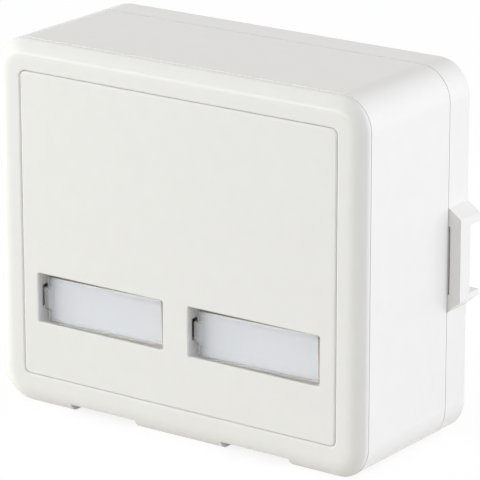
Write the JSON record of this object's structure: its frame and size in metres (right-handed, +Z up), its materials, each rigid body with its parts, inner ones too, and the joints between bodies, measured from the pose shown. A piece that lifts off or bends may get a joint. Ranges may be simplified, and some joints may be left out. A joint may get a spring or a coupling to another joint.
{
  "type": "surface mount jack box",
  "caption": "Surface mount jack box with a flat panel, label windows, downward ports, a pull-off cover and a slotted wall base.",
  "frame": {"origin": "centre of the two fixing slots, on the wall face of the base", "axes": "+X to the viewer's right, +Y into the wall, so the front faces -Y, +Z up, ports face down"},
  "size_m": [0.0852, 0.0325, 0.0686],
  "materials": {
    "case_plastic": "satin moulded cream white",
    "clear_plastic": "clear moulded window",
    "label_paper": "uncoated paper",
    "jack_plastic": "satin moulded white",
    "carrier_plastic": "moulded black",
    "contact_gold": "gold plated",
    "board_laminate": "green solder mask",
    "terminal_plastic": "moulded white",
    "blade_metal": "tin plated bronze",
    "cap_plastic": "moulded white"
  },
  "bodies": {
    "base": {"base": "case_plastic", "jack_housing_left": "jack_plastic", "jack_housing_right": "jack_plastic", "contact_carrier_left": "carrier_plastic", "contact_carrier_right": "carrier_plastic", "contact_wires_left": "contact_gold", "contact_wires_right": "contact_gold", "circuit_board_left": "board_laminate", "circuit_board_right": "board_laminate", "terminal_block_left": "terminal_plastic", "terminal_block_right": "terminal_plastic", "terminal_blades_left": "blade_metal", "terminal_blades_right": "blade_metal"},
    "cover": {"cover": "case_plastic", "front_panel": "case_plastic", "label_card_left": "label_paper", "label_card_right": "label_paper"},
    "lens_left": {"label_lens_left": "clear_plastic"},
    "lens_right": {"label_lens_right": "clear_plastic"},
    "cap_left": {"terminal_cap_left": "cap_plastic"},
    "cap_right": {"terminal_cap_right": "cap_plastic"}
  },
  "joints": [
    {"name": "cover_slide", "type": "slide", "parent": "base", "child": "cover", "axis": [0, -1, 0], "range_m": [0, 0.03]},
    {"name": "lens_left_slide", "type": "slide", "parent": "cover", "child": "lens_left", "axis": [0, -1, 0], "range_m": [0, 0.008]},
    {"name": "lens_right_slide", "type": "slide", "parent": "cover", "child": "lens_right", "axis": [0, -1, 0], "range_m": [0, 0.008]},
    {"name": "cap_left_slide", "type": "slide", "parent": "base", "child": "cap_left", "axis": [0, 0, 1], "range_m": [0, 0.01]},
    {"name": "cap_right_slide", "type": "slide", "parent": "base", "child": "cap_right", "axis": [0, 0, 1], "range_m": [0, 0.01]}
  ]
}
